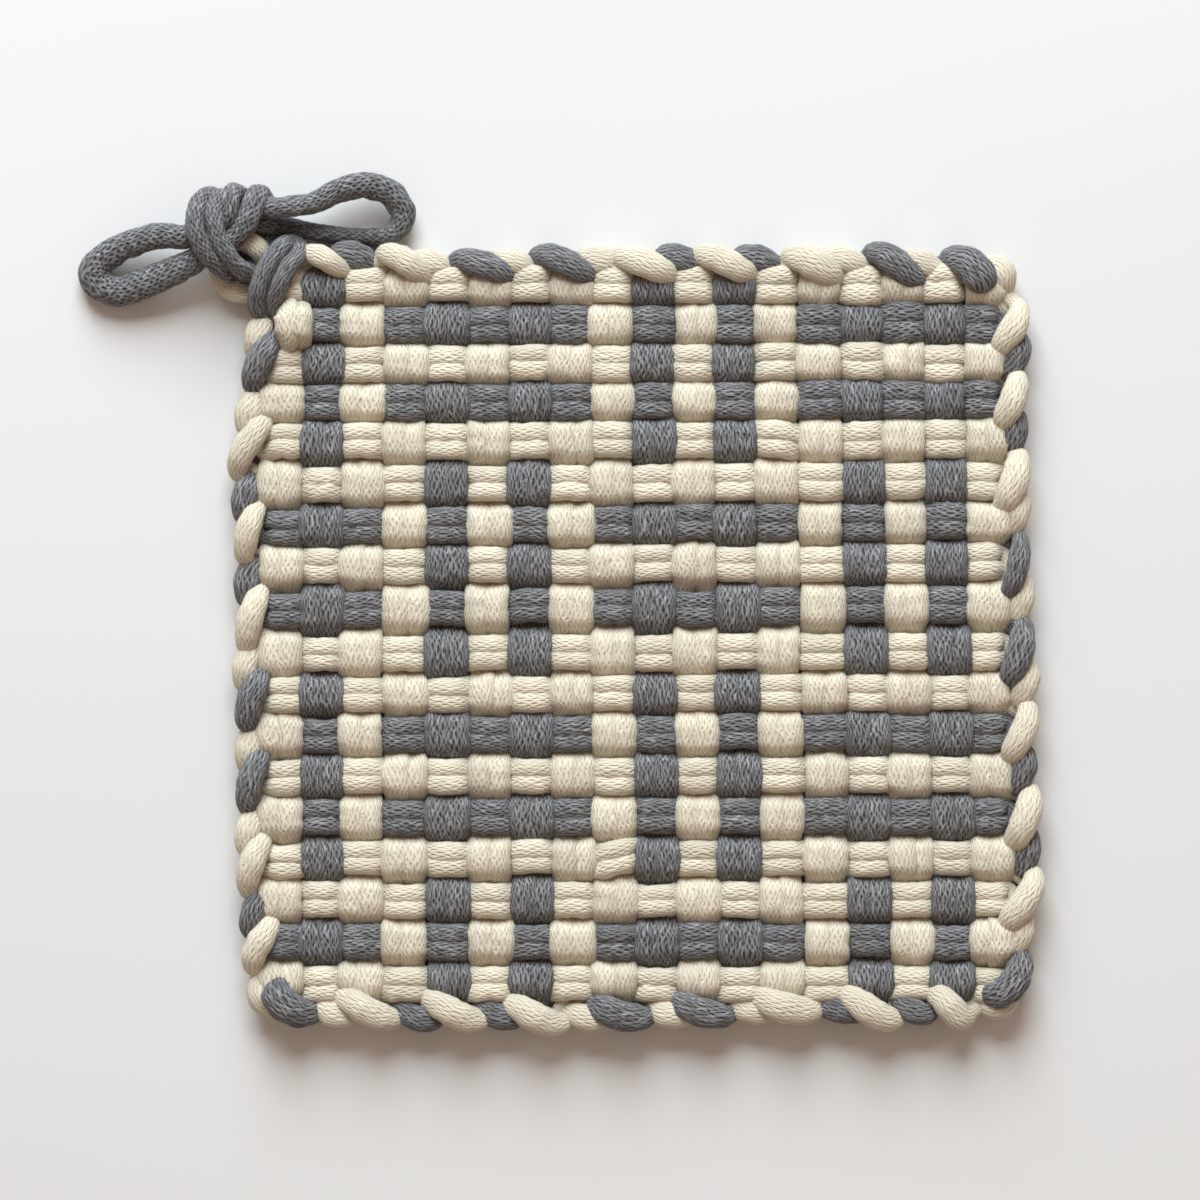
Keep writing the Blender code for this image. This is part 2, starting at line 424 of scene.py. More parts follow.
@dataclass
class Sections:
    """Cross-sections of a strand, in order along it.

    widths and thicks are half sizes. A fullness of 2 makes an ellipse, and more fills its corners.
    """

    centres: Array
    ups: Array
    widths: Array
    thicks: Array
    shades: Array
    fullness: Array

    @staticmethod
    def joined(parts: list["Sections"]) -> "Sections":
        """All the sections of several stretches, one stretch after the other."""
        return Sections(*map(np.concatenate, zip(*(vars(part).values() for part in parts))))

    def picked(self, choice: slice) -> "Sections":
        """Some of the sections."""
        return Sections(*(values[choice] for values in vars(self).values()))


@dataclass
class Tube:
    """A closed ring of knitted tube, as a mesh.

    wales is how many columns of stitches go round it, and stitch the length of one. The lumps are
    waves along it, whose lengths and sizes lie between two limits.
    """

    name: str
    sections: Sections
    sides: int
    wales: int
    stitch: float
    seed: int
    waves: int = 10
    wave_lengths: tuple[float, float] = (1.6, 7.0)
    wave_sizes: tuple[float, float] = (0.005, 0.016)
    lowest: float = 0.05
    map_margin: float = 0.04

    def lumps(self, run: Array, around: Array) -> Array:
        """The unevenness of hand-stretched cotton.

        Args:
            run: How far along the strand each section is.
            around: The angle of each side.

        Returns:
            A factor for the size, for each section and side.
        """
        rng = np.random.default_rng(self.seed)
        total = 1.0 + np.zeros((len(run), len(around)))
        for _ in range(self.waves):
            length, turns = rng.uniform(*self.wave_lengths), rng.integers(0, 4)
            rounds = max(1, round(run[-1] / length))
            phase, size = rng.uniform(0, math.tau), rng.uniform(*self.wave_sizes)
            place = math.tau * rounds * run[:, None] / run[-1] + turns * around[None, :]
            total += size * np.sin(place + phase)
        return total

    def make(self, material: bpy.types.Material) -> bpy.types.Object:
        """Build the mesh, with a map for the stitches and one for baking.

        Args:
            material: The finish.

        Returns:
            The new object.
        """
        s = self.sections
        count, sides = len(s.centres), self.sides
        loop = np.vstack([s.centres[-1:], s.centres, s.centres[:1]])
        ways = unit(loop[2:] - loop[:-2])
        across = unit(np.cross(s.ups, ways))
        run = run_along(loop[1:])
        around = np.arange(sides) / sides * math.tau
        power = 2 / s.fullness[:, None]
        out = np.sign(np.cos(around)) * np.abs(np.cos(around)) ** power
        rise = np.sign(np.sin(around)) * np.abs(np.sin(around)) ** power
        lumps = self.lumps(run[:-1], around)
        points = (
            s.centres[:, None, :]
            + across[:, None, :] * (s.widths[:, None] * out * lumps)[:, :, None]
            + s.ups[:, None, :] * (s.thicks[:, None] * rise * lumps)[:, :, None]
        )
        points[..., 2] = np.maximum(points[..., 2], self.lowest)
        ring, side = np.meshgrid(np.arange(count), np.arange(sides), indexing="ij")
        next_ring, next_side = (ring + 1) % count, (side + 1) % sides
        faces = np.stack(
            [ring * sides + side, ring * sides + next_side,
             next_ring * sides + next_side, next_ring * sides + side], -1
        ).reshape(-1, 4)
        mesh = bpy.data.meshes.new(self.name)
        mesh.from_pydata(points.reshape(-1, 3) * MM, [], faces.tolist())
        mesh.shade_smooth()
        self.add_maps(mesh, run, ring.ravel(), side.ravel())
        shade = mesh.attributes.new(SHADE, "FLOAT", "POINT")
        shade.data.foreach_set("value", np.repeat(s.shades, sides).astype(np.float32))
        mesh.materials.append(material)
        return placed(self.name, mesh)

    def add_maps(self, mesh: bpy.types.Mesh, run: Array, ring: Array, side: Array) -> None:
        """Unroll the tube: whole stitches in one map, and strips that fill a square in the other.

        Args:
            mesh: The tube's mesh.
            run: How far along each section is, and the whole length at the end.
            ring: Each face's section.
            side: Each face's side.
        """
        ends = np.stack([run[ring], run[ring], run[ring + 1], run[ring + 1]], 1)
        turns = np.stack([side, side + 1, side + 1, side], 1) / self.sides
        rows = max(1, round(run[-1] / self.stitch))
        whole = np.stack([turns * self.wales, ends / run[-1] * rows], -1)
        girth = math.pi * (self.sections.widths.mean() + self.sections.thicks.mean())
        strips = max(1, round(math.sqrt(run[-1] / girth)))
        middle = (run[ring] + run[ring + 1]) / 2
        strip = np.minimum((middle / run[-1] * strips).astype(int), strips - 1)
        starts = run[:-1][np.searchsorted(run[:-1], np.arange(strips) / strips * run[-1])]
        longest = np.diff(np.append(starts, run[-1])).max() * (1 + self.map_margin)
        inside = self.map_margin + (1 - 2 * self.map_margin) * turns
        square = np.stack(
            [(ends - starts[strip][:, None]) / longest + self.map_margin / 4,
             (strip[:, None] + inside) / strips], -1
        )
        for name, places in ((BAKE_MAP, square), (STITCH_MAP, whole)):
            layer = mesh.uv_layers.new(name=name)
            layer.uv.foreach_set("vector", places.astype(np.float32).ravel())


# ---- the weave


@dataclass
class Weave:
    """Where the rows and columns of the weave lie, read from the frame's bands.

    narrowing is how much narrower the top is than the middle, climb how far the rows rise to
    the right at most, lean how far the lower part lies to the right, flare how much further its
    right side stands out, and hem how far the weave goes past the bands.
    """

    narrowing: float = 1.0
    climb: float = 0.9
    hem: float = 1.7
    low_hem: float = 2.5
    lean: float = 1.15
    lean_start: float = 0.25
    lean_length: float = 0.6
    flare: float = 0.4
    low_centre: float = 1.75
    high_centre: float = 5.35
    columns: Array = field(init=False)
    rows: Array = field(init=False)

    def __post_init__(self) -> None:
        """Take the bounds between the bands as the middles of the gaps between their boxes."""
        warp = [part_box(f"warp_{i + 1:02d}") for i in range(LOOPS_A_SIDE)]
        weft = [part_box(f"weft_{i + 1:02d}") for i in range(LOOPS_A_SIDE)]
        left = [low.x for low, _ in warp]
        right = [high.x for _, high in warp]
        top = [high.y for _, high in weft]
        bottom = [low.y for low, _ in weft]
        side = self.hem - self.narrowing / 2
        between = [(a + b) / 2 / MM for a, b in zip(right, left[1:])]
        self.columns = np.array([left[0] / MM - side, *between, right[-1] / MM + side])
        between = [(a + b) / 2 / MM for a, b in zip(bottom, top[1:])]
        self.rows = np.array([top[0] / MM + self.hem, *between, bottom[-1] / MM - self.low_hem])

    @property
    def middle(self) -> Array:
        """The weave's middle."""
        return np.array([self.columns[[0, -1]].mean(), self.rows[[0, -1]].mean()])

    def place(self, column: Array, row: Array) -> Array:
        """A point of the weave, which is a little narrower at the top and climbs to the right.

        Args:
            column: Columns from the left edge, 0 to 18.
            row: Rows from the top edge, 0 to 18.

        Returns:
            The points' x and y.
        """
        marks = np.arange(LOOPS_A_SIDE + 1)
        x, y = np.interp(column, marks, self.columns), np.interp(row, marks, self.rows)
        across = (x - self.columns[0]) / (self.columns[-1] - self.columns[0])
        down = (self.rows[0] - y) / (self.rows[0] - self.rows[-1])
        x = x + self.narrowing * (1 - 2 * across) * ((1 - down) ** 4 - 0.5)
        low = eased(np.clip((down - self.lean_start) / self.lean_length, 0, 1))
        x = x + self.lean * np.minimum(1, 1.3 * across) * low + self.flare * across**6
        highest = 4 / 27  # of down * (1 - down) ** 2
        y = y + self.climb * (across - 0.5) * down * (1 - down) ** 2 / highest
        return np.stack([x, y], -1)

    def tightness(self, column: Array, row: Array) -> Array:
        """How much wider the warp's floats lie than the weft's, which win at the top right.

        Args:
            column: Columns from the left edge.
            row: Rows from the top edge.

        Returns:
            From -1, where the weft's are the wider, to 1.
        """
        return 1 - 2 * (column / LOOPS_A_SIDE) ** 1.5 * (1 - row / LOOPS_A_SIDE) ** 2


def weft_is_over(row: int, column: int) -> bool:
    """Whether the weft lies over the warp where a row and a column cross."""
    return (row + column) % 2 == 0


class Way(Enum):
    """The two ways that the loops run."""

    WARP = "warp"
    WEFT = "weft"


@dataclass(frozen=True)
class FloatShape:
    """How the two strands of a loop lie where they pass over, and where they pass under.

    A strand's width and thickness are half sizes, and it lies apart from the loop's middle.
    favour is how much wider the floats grow where their own way of the weave lies tighter, and
    wales how many columns of stitches go round a strand.
    """

    over_width: float
    over_apart: float
    over_thick: float
    over_fullness: float
    favour: float
    under_width: float
    under_apart: float
    under_thick: float = 1.55
    under_fullness: float = 2.3
    wales: int = 32


WARP_SHAPE = FloatShape(2.72, 1.44, 1.72, 2.6, 0.07, under_width=2.10, under_apart=1.95, wales=42)
WEFT_SHAPE = FloatShape(2.22, 1.46, 1.84, 2.3, -0.09, under_width=1.85, under_apart=1.80)


@dataclass(frozen=True)
class OddFloat:
    """A float that lies differently from its neighbours.

    swell is how much wider it is, as a share, and lift and shift how far it is raised and moved
    to the right or up. gather is how much nearer its two strands lie, as a share, tilt how far it
    climbs from one crossing to the next, and length half its length, in crossings.
    """

    way: Way
    number: int
    crossing: int
    swell: float
    lift: float
    shift: float = 0.0
    gather: float = 0.0
    tilt: float = 0.0
    length: float = 0.55


ODD_FLOATS = (
    OddFloat(Way.WARP, 0, 1, -0.04, 2.3, 2.3, gather=0.35, length=0.64),
    OddFloat(Way.WARP, 0, 13, 0.05, 0.3),
    OddFloat(Way.WARP, 17, 6, 0.05, 0.3),
    OddFloat(Way.WARP, 17, 16, 0.03, 0.8, -0.4),
    OddFloat(Way.WARP, 17, 2, -0.08, 0.3, -0.4),
    OddFloat(Way.WEFT, 0, 6, 0.05, 0.3),
    OddFloat(Way.WEFT, 0, 15, 0.10, 0.4),
    OddFloat(Way.WEFT, 2, 15, 0.12, 0.5),
    OddFloat(Way.WEFT, 13, 6, 0.06, 0.3),
    OddFloat(Way.WEFT, 14, 8, 0.04, 0.4, tilt=2.4),
    OddFloat(Way.WEFT, 4, 12, 0.02, 0.3, tilt=-0.8),
)


@dataclass(frozen=True)
class Unevenness:
    """How far the sizes of a strand stray at its crossings: one standard deviation of each."""

    width: float = 0.04
    apart: float = 0.12
    thick: float = 0.05
    height: float = 0.10
    roll: float = 0.12
    shade: float = 0.045
    wobble: float = 0.20


@dataclass
class LoomLoop:
    """One cotton loop in the weave: two strands side by side, and the bights at its ends."""

    weave: Weave
    way: Way
    number: int
    yarn: Yarn
    shape: FloatShape
    stray: Unevenness = Unevenness()
    step: float = 0.62
    pitch: float = 7.7
    steepness: float = 1.85
    crest: float = 0.8
    lift_swell: float = 0.4

    @property
    def name(self) -> str:
        """The piece's name."""
        return f"{self.way.value}_loop_{self.number + 1:02d}"

    @property
    def node(self) -> str:
        """The frame's node that the loop stands for."""
        return f"{self.way.value}_{self.number + 1:02d}"

    def is_over(self, crossing: int) -> bool:
        """Whether this loop passes over the other at one of its crossings."""
        return weft_is_over(self.number, crossing) == (self.way is Way.WEFT)

    def wobble(self, along: Array) -> Array:
        """How far the whole loop strays to one side, along its length."""
        rng = np.random.default_rng(3000 + self.number + 50 * (self.way is Way.WEFT))
        strays = rng.normal(0, self.stray.wobble, LOOPS_A_SIDE + 2)
        return np.interp(along, np.arange(-1, LOOPS_A_SIDE + 1) + 0.5, strays)

    def strand(self, hand: int) -> Sections:
        """One strand's sections, from the middle of its first crossing to that of its last.

        Args:
            hand: 1 for the strand on the left as the loop runs forwards, and -1 for the other.

        Returns:
            The sections, in the direction that the strand runs round the loop.
        """
        seed = (self.number * 2 + (hand > 0)) * 2 + (self.way is Way.WEFT)
        rng = np.random.default_rng(1000 + seed)
        last = LOOPS_A_SIDE - 0.5
        along = np.linspace(0.5, last, round((last - 0.5) * self.pitch / self.step) + 1)
        first_sign = 1 if self.is_over(0) else -1
        wave = first_sign * np.cos(math.pi * (along - 0.5))
        rise = np.tanh(self.steepness * wave) / math.tanh(self.steepness)
        over = ((rise + 1) / 2) ** self.crest

        def uneven(spread: float) -> Array:
            """A random size for each crossing, joined up smoothly.

            Args:
                spread: Its standard deviation.

            Returns:
                The size at each place along the strand.
            """
            values = rng.normal(0, spread, LOOPS_A_SIDE)
            place = np.clip(along - 0.5, 0, LOOPS_A_SIDE - 1.001)
            low, share = place.astype(int), eased(place % 1)
            return values[low] * (1 - share) + values[low + 1] * share

        def from_under(under: float, above: float) -> Array:
            """A size that changes with how far over the strand is."""
            return under + (above - under) * over

        s, stray, fixed = self.shape, self.stray, np.full_like(along, self.number + 0.5)
        column, row = (fixed, along) if self.way is Way.WARP else (along, fixed)
        swell, lift, shift, gather = (np.zeros_like(along) for _ in range(4))
        for odd in ODD_FLOATS:
            if (odd.way, odd.number) == (self.way, self.number):
                past = along - odd.crossing - 0.5
                near = np.exp(-(past / odd.length) ** 4)
                swell, lift = swell + odd.swell * near, lift + odd.lift * near
                shift = shift + (odd.shift + odd.tilt * past) * near
                gather = gather + odd.gather * near
        favour = 1 + s.favour * self.weave.tightness(column, row) * over + swell
        widths = from_under(s.under_width, s.over_width) * favour * (1 + uneven(stray.width))
        apart = from_under(s.under_apart, s.over_apart) * favour * (1 - gather)
        apart = apart + uneven(stray.apart)
        thicks = from_under(s.under_thick, s.over_thick) + uneven(stray.thick)
        thicks = thicks + self.lift_swell * lift
        fullness = from_under(s.under_fullness, s.over_fullness)
        low, high = self.weave.low_centre, self.weave.high_centre
        z = (low + high) / 2 + (high - low) / 2 * rise + uneven(stray.height) + lift
        flat = self.weave.place(column, row)
        if self.way is Way.WARP:
            flat[:, 0] += -hand * apart + self.wobble(along) + shift
        else:
            flat[:, 1] += hand * apart + self.wobble(along) + shift
        ups = np.tile(UPWARDS, (len(along), 1))
        ups[:, 0 if self.way is Way.WARP else 1] = uneven(stray.roll)
        shades = 1 + uneven(stray.shade)
        made = Sections(np.column_stack([flat, z]), unit(ups), widths, thicks, shades, fullness)
        forwards = hand > 0 if self.way is Way.WEFT else hand < 0
        return made if forwards else made.picked(slice(None, None, -1))

    def neck(self, far_end: bool) -> Array:
        """Where the loop leaves the weave, at its first end or its far one."""
        there, middle = np.array(LOOPS_A_SIDE if far_end else 0.0), np.array(self.number + 0.5)
        return self.weave.place(*((middle, there) if self.way is Way.WARP else (there, middle)))


# ---- the plaited edge


@dataclass
class Edge:
    """The line of the plaited edge, followed clockwise from the top left corner.

    bulge has a row for each side: how much of the frame's edge the plait fills, at even places
    along it. radius is the radius of the corners.
    """

    weave: Weave
    radius: float = 6.5
    side_points: int = 200
    corner_points: int = 14
    bulge: tuple[Numbers, ...] = (
        (0.88, 0.80, 0.62, 0.68, 0.74, 0.84, 0.36),
        (0.92, 0.80, 0.95, 0.93, 1.10, 1.02, 0.42),
        (0.62, 0.72, 0.87, 1.04, 1.06, 0.98, 0.72),
        (0.42, 0.74, 0.80, 0.80, 0.92, 0.76, 0.50),
    )
    line: Array = field(init=False)
    outward: Array = field(init=False)
    run: Array = field(init=False)
    reach: Array = field(init=False)

    def __post_init__(self) -> None:
        """Follow the weave's outline, its corners rounded, and note how far the edge reaches."""
        low, high = (np.array(corner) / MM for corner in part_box("chained_edge"))
        share = np.linspace(0, 1, self.side_points) * LOOPS_A_SIDE
        none, full = np.zeros_like(share), np.full_like(share, LOOPS_A_SIDE)
        sides = [
            self.weave.place(share, none), self.weave.place(full, share),
            self.weave.place(share[::-1], full), self.weave.place(none, share[::-1]),
        ]
        reaches = (
            high[1] - sides[0][:, 1].mean(), high[0] - sides[1][:, 0].max(),
            sides[2][:, 1].mean() - low[1], sides[3][:, 0].min() - low[0],
        )
        parts, reach = [], []
        for i, side in enumerate(sides):
            far = np.linalg.norm(side - side[0], axis=1)
            inside = (far >= self.radius) & (far <= far[-1] - self.radius)
            parts.append(side[inside])
            stops = np.linspace(0, far[-1], len(self.bulge[i]))
            reach.append(reaches[i] * np.interp(far[inside], stops, self.bulge[i]))
            follow = sides[(i + 1) % 4]
            corner, before, after = side[-1], unit(side[-2] - side[-1]), unit(follow[1] - follow[0])
            turn = np.linspace(0, math.pi / 2, self.corner_points)[1:-1, None]
            middle = corner + (before + after) * self.radius
            parts.append(middle - self.radius * (after * np.cos(turn) + before * np.sin(turn)))
            ends = reaches[i] * self.bulge[i][-1], reaches[(i + 1) % 4] * self.bulge[(i + 1) % 4][0]
            reach.append(np.linspace(*ends, self.corner_points)[1:-1])
        line = np.vstack(parts)
        self.line = np.vstack([line, line[:1]])
        self.reach = np.append(np.concatenate(reach), reach[0][0])
        loop = np.vstack([line[-1:], line, line[:2]])
        ways = unit(loop[2:] - loop[:-2])
        self.outward = np.stack([-ways[:, 1], ways[:, 0]], 1)
        self.run = run_along(self.line)

    def nearest(self, point: Array) -> float:
        """How far along the edge a point lies."""
        return float(self.run[np.linalg.norm(self.line - point, axis=1).argmin()])

    def here(self, run: float, columns: Array) -> Array:
        """The values that go with the line's points, at a place along it."""
        return np.array([np.interp(run % self.run[-1], self.run, column) for column in columns])

    def place(self, run: float, out: float) -> Array:
        """The point that lies out from the line, at a place along it."""
        return self.here(run, self.line.T) + unit(self.here(run, self.outward.T)) * out


@dataclass(frozen=True)
class LinkPoint:
    """One point of a bight in the plait, from the neck that it starts at.

    along is in pitches of the plait, inset is how far in it is from the plait's outer side, and
    width and thick are half sizes.
    """

    along: float
    inset: float
    z: float
    width: float
    thick: float


LONG_LINK = tuple(LinkPoint(*row) for row in (
    (0.0, 2.7, 4.5, 1.8, 1.5), (0.18, 1.8, 5.7, 2.3, 1.75), (0.48, 2.1, 6.9, 2.8, 2.0),
    (0.84, 3.2, 7.4, 2.95, 2.05), (1.17, 4.5, 6.8, 2.7, 1.9), (1.4, 5.2, 5.1, 2.25, 1.6),
    (1.38, 4.95, 3.1, 2.1, 1.5), (1.1, 4.1, 2.0, 2.5, 1.65), (0.6, 2.7, 1.8, 2.5, 1.65),
    (0.25, 2.6, 2.6, 2.0, 1.5), (0.18, 4.2, 3.5, 1.7, 1.3),
))
SHORT_LINK = tuple(LinkPoint(*row) for row in (
    (0.02, 3.3, 4.4, 1.8, 1.45), (0.2, 2.45, 5.1, 2.2, 1.6), (0.52, 2.6, 5.8, 2.5, 1.75),
    (0.84, 3.3, 5.3, 2.3, 1.7), (1.04, 4.0, 4.0, 1.8, 1.45), (1.0, 3.9, 2.7, 1.9, 1.5),
    (0.8, 3.2, 2.0, 2.3, 1.6), (0.42, 2.7, 1.9, 2.3, 1.6), (0.2, 3.0, 2.8, 1.9, 1.4),
    (0.18, 4.4, 3.5, 1.7, 1.3),
))


@dataclass(frozen=True)
class OddLink:
    """How one bight of the plait lies differently from its neighbours.

    start is how much later it begins, in pitches, and girth how much wider it is, as a share.
    """

    start: float = 0.0
    girth: float = 0.0


ODD_LINKS = {
    number: OddLink(start, girth)
    for number, start, girth in (
        (0, 0.30, -0.20), (1, 0.10, 0.12), (2, 0.26, 0.0), (12, 0.22, 0.0), (14, 0.10, 0.0),
        (17, 0.12, 0.10), (24, -0.08, -0.18), (34, 0.0, -0.14), (35, 0.0, 0.20), (36, 0.30, 0.05),
        (37, 0.20, 0.0), (53, 0.0, 0.10), (54, 0.08, 0.0),
    )
}
# How far each bight's outer part stands out past the even line: a row for each side, clockwise
# from the top.
OUTSETS = (
    (0.0, 0.7, 0.1, -0.3, -0.8, 0.2, 0.4, 0.1, -0.3, 0.9, 0.2, 0.6, -0.4, 0.0, 0.0, 0.2, 0.0, 0.5),
    (0.4, 1.2, 0.0, 0.5, 0.0, 0.4, -0.5, 0.6, -0.4, 0.7, 0.0, -0.4, -0.2, 0.0, 0.6, 0.1, -0.4, 0.5),
    (1.1, 0.9, 1.2, 0.2, -0.8, 0.0, -0.4, 0.0, -0.5, 0.3, 0.7, 0.4, -0.2, 0.8, 0.0, 0.4, -0.7, 0.7),
    (-0.5, 0.2, -0.2, 0.4, -0.4, -0.2, -0.5, 0.3, -0.5, 0.3, -0.6, 0.1, 1.0, 0.4, -0.7, -0.5, 0, 0),
)
# How much further in each long bight's inner end lies, and the short one's after it.
REACHES = (
    (-0.5, 0.0, 0.0, 0.0, 0.0, 0.0, 0.6, 0.9, 0.4),
    (0.0, -0.3, -0.3, -0.6, 0.0, 0.4, -0.2, 0.2, -1.0),
    (0.2, 0.0, 0.0, -0.2, -0.5, -0.3, 0.4, 0.3, -0.3),
    (0.9, -0.3, -0.4, -0.4, -0.3, -0.4, 0.0, 0.3, 0.0),
)


@dataclass
class Plait:
    """The edge's bights, each drawn through the one before it, long and short by turns.

    Shifts, neck_apart and the places where a change starts or ends are in pitches, and a girth
    is how much wider a bight is, as a share. neck is its z, half width and half thickness. strays
    are the standard deviations of a bight's lift, shift, outset and girth. From near_end on, the
    last bights before the top left corner begin later, as each side's first does.
    """

    edge: Edge
    runs: list[float]
    neck_out: float = -1.2
    neck_apart: float = 0.21
    neck: Numbers = (3.4, 1.6, 1.3)
    side_shifts: Numbers = (0.07, 0.28, 0.14, 0.11)
    side_girths: Numbers = (-0.08, -0.10, -0.04, -0.12)
    strays: Numbers = (0.20, 0.05, 0.15, 0.04)
    first_shift: float = 0.15
    first_length: float = 0.86
    corner_girth: float = 0.18
    corner_inset: float = 1.12
    corner_starts: float = 0.7
    inner_starts: float = 0.4
    inner_length: float = 0.8
    late_ends: float = 1.2
    lifted_above: float = 5.0
    near_end: int = 66

    def bight(self, number: int) -> Array:
        """The points of one bight.

        Args:
            number: The neck that it starts at, clockwise from the top left.

        Returns:
            Rows of x, y, z, half width and half thickness.
        """
        rng = np.random.default_rng(500 + number)
        start = self.runs[number]
        pitch = (self.runs[(number + 1) % len(self.runs)] - start) % self.edge.run[-1]
        lift, shift, outset, girth = rng.normal(0, self.strays)
        side, place = divmod(number, LOOPS_A_SIDE)
        odd, is_long = ODD_LINKS.get(number, OddLink()), number % 2 == 0
        is_first, is_corner = place == 0, place == LOOPS_A_SIDE - 2
        shift += self.side_shifts[side]
        shift += self.first_shift if is_first or number >= self.near_end else 0.0
        girth += odd.girth + (self.side_girths[side] if is_long else 0.0)
        girth += self.corner_girth if is_corner else 0.0
        rows = []
        for p in LONG_LINK if is_long else SHORT_LINK:
            late = odd.start * max(0.0, 1 - p.along / self.late_ends)
            along = p.along * (self.first_length if is_first else 1.0) + shift + late
            run = start + along * pitch
            turns_in = is_corner and p.along > self.corner_starts
            inset = p.inset * (self.corner_inset if turns_in else 1.0)
            inner = min(1.0, max(0.0, (p.along - self.inner_starts) / self.inner_length))
            inset += REACHES[side][place // 2] * inner - OUTSETS[side][place] * (1 - inner)
            reach = float(self.edge.here(run, [self.edge.reach])[0])
            x, y = self.edge.place(run, reach - inset + outset)
            rise = lift if p.z > self.lifted_above else 0.0
            rows.append([x, y, p.z + rise, p.width * (1 + girth), p.thick])
        ends = [
            [*self.edge.place(start + hand * self.neck_apart * pitch, self.neck_out), *self.neck]
            for hand in (-1, 1)
        ]
        return np.array([ends[0], *rows, ends[1]])


@dataclass
class LoopMaker:
    """Closes a loom loop: its two strands, joined by the bight at each end.

    roundness is a bight's fullness, which changes to the strands' own only near its ends, and
    lead how many sections off lies the point of a strand that sets the bight's direction.
    """

    step: float = 0.60
    sides: int = 16
    stitch: float = 2.5
    roundness: float = 2.2
    nearness_power: int = 8
    lead: int = 4

    def bight_sections(self, before: Sections, points: Array, after: Sections, either: bool
                       ) -> Sections:
        """Sections along a bight, between the strands that it joins.

        Args:
            before: The strand that it follows.
            points: Its own points.
            after: The strand that it leads to.
            either: Whether it may meet that strand upside down.

        Returns:
            The bight's sections, without its first and last, which are the strands' own.
        """
        def row(s: Sections, i: int) -> Array:
            """One section of a strand, as a row."""
            return np.append(s.centres[i], [s.widths[i], s.thicks[i]])

        route = smooth_route(
            np.vstack([row(before, -1), points, row(after, 0)]),
            row(before, -1 - self.lead), row(after, self.lead), self.step,
        )
        ups = settled_up(route[:, :3], before.ups[-1], after.ups[0], either)
        shades = np.linspace(before.shades[-1], after.shades[0], len(route))
        nearness = np.abs(np.linspace(-1, 1, len(route))) ** self.nearness_power
        ends = np.linspace(before.fullness[-1], after.fullness[0], len(route))
        fullness = self.roundness + (ends - self.roundness) * nearness
        made = Sections(route[:, :3], ups, route[:, 3], route[:, 4], shades, fullness)
        return made.picked(slice(1, -1))

    def close(self, loop: LoomLoop, first: Array, second: Array) -> Tube:
        """Make the loop's tube.

        Args:
            loop: The loop in the weave.
            first: The bight at the end that its first strand runs to.
            second: The bight at the other end.

        Returns:
            The closed tube.
        """
        out, back = loop.strand(1), loop.strand(-1)
        far = self.bight_sections(out, first, back, either=True)
        if far.ups[-1] @ back.ups[0] < 0:
            back.ups = -back.ups
        near = self.bight_sections(back, second, out, either=False)
        sections = Sections.joined([out, far, back, near])
        return Tube(
            loop.name, sections, self.sides, loop.shape.wales, self.stitch,
            seed=loop.number + (100 if loop.way is Way.WEFT else 0),
        )


# ---- the hanging loop and its tie


@dataclass
class Corner:
    """The last two bights at the top left corner: x, y, z, half width and half thickness.

    shift is from the weave's middle in these rows to where it lies.
    """

    shift: Array

    def moved(self, rows: tuple[Numbers, ...]) -> Array:
        """Rows of a route, moved to where the weave lies."""
        return np.array(rows) + [*self.shift, 0, 0, 0]

    def end_loop(self) -> Array:
        """The last cream bight, which stands out from the corner for the tie to go through."""
        return self.moved((
            (-71.0, 64.9, 3.2, 1.9, 1.5), (-73.6, 64.9, 3.6, 2.0, 1.8),
            (-76.2, 65.2, 3.2, 2.0, 1.9), (-78.4, 66.6, 2.6, 2.0, 1.9),
            (-79.4, 69.2, 2.6, 2.0, 1.9), (-79.4, 71.9, 3.2, 2.0, 1.9),
            (-78.2, 74.2, 4.6, 2.1, 2.0), (-75.2, 74.9, 5.6, 2.3, 2.1),
            (-72.0, 73.4, 5.4, 2.3, 2.0), (-70.2, 70.6, 4.2, 1.9, 1.5),
        ))

    def corner_bight(self) -> Array:
        """The grey bight before it, whose two strands lie side by side across the corner."""
        return self.moved((
            (-70.0, 59.4, 4.2, 1.6, 1.4), (-71.6, 61.2, 5.6, 1.7, 1.6),
            (-72.0, 63.5, 7.4, 1.8, 1.8), (-71.1, 66.8, 8.6, 1.9, 1.8),
            (-69.3, 70.6, 8.8, 1.9, 1.8), (-67.3, 73.4, 7.6, 1.8, 1.7),
            (-66.0, 74.4, 5.0, 1.6, 1.6), (-64.4, 74.0, 4.4, 1.6, 1.6),
            (-64.0, 72.2, 7.0, 1.8, 1.6), (-66.1, 69.2, 8.6, 1.9, 1.8),
            (-67.9, 65.5, 8.2, 1.8, 1.8), (-69.0, 62.6, 6.4, 1.7, 1.5),
            (-68.4, 60.6, 4.4, 1.6, 1.4),
        ))


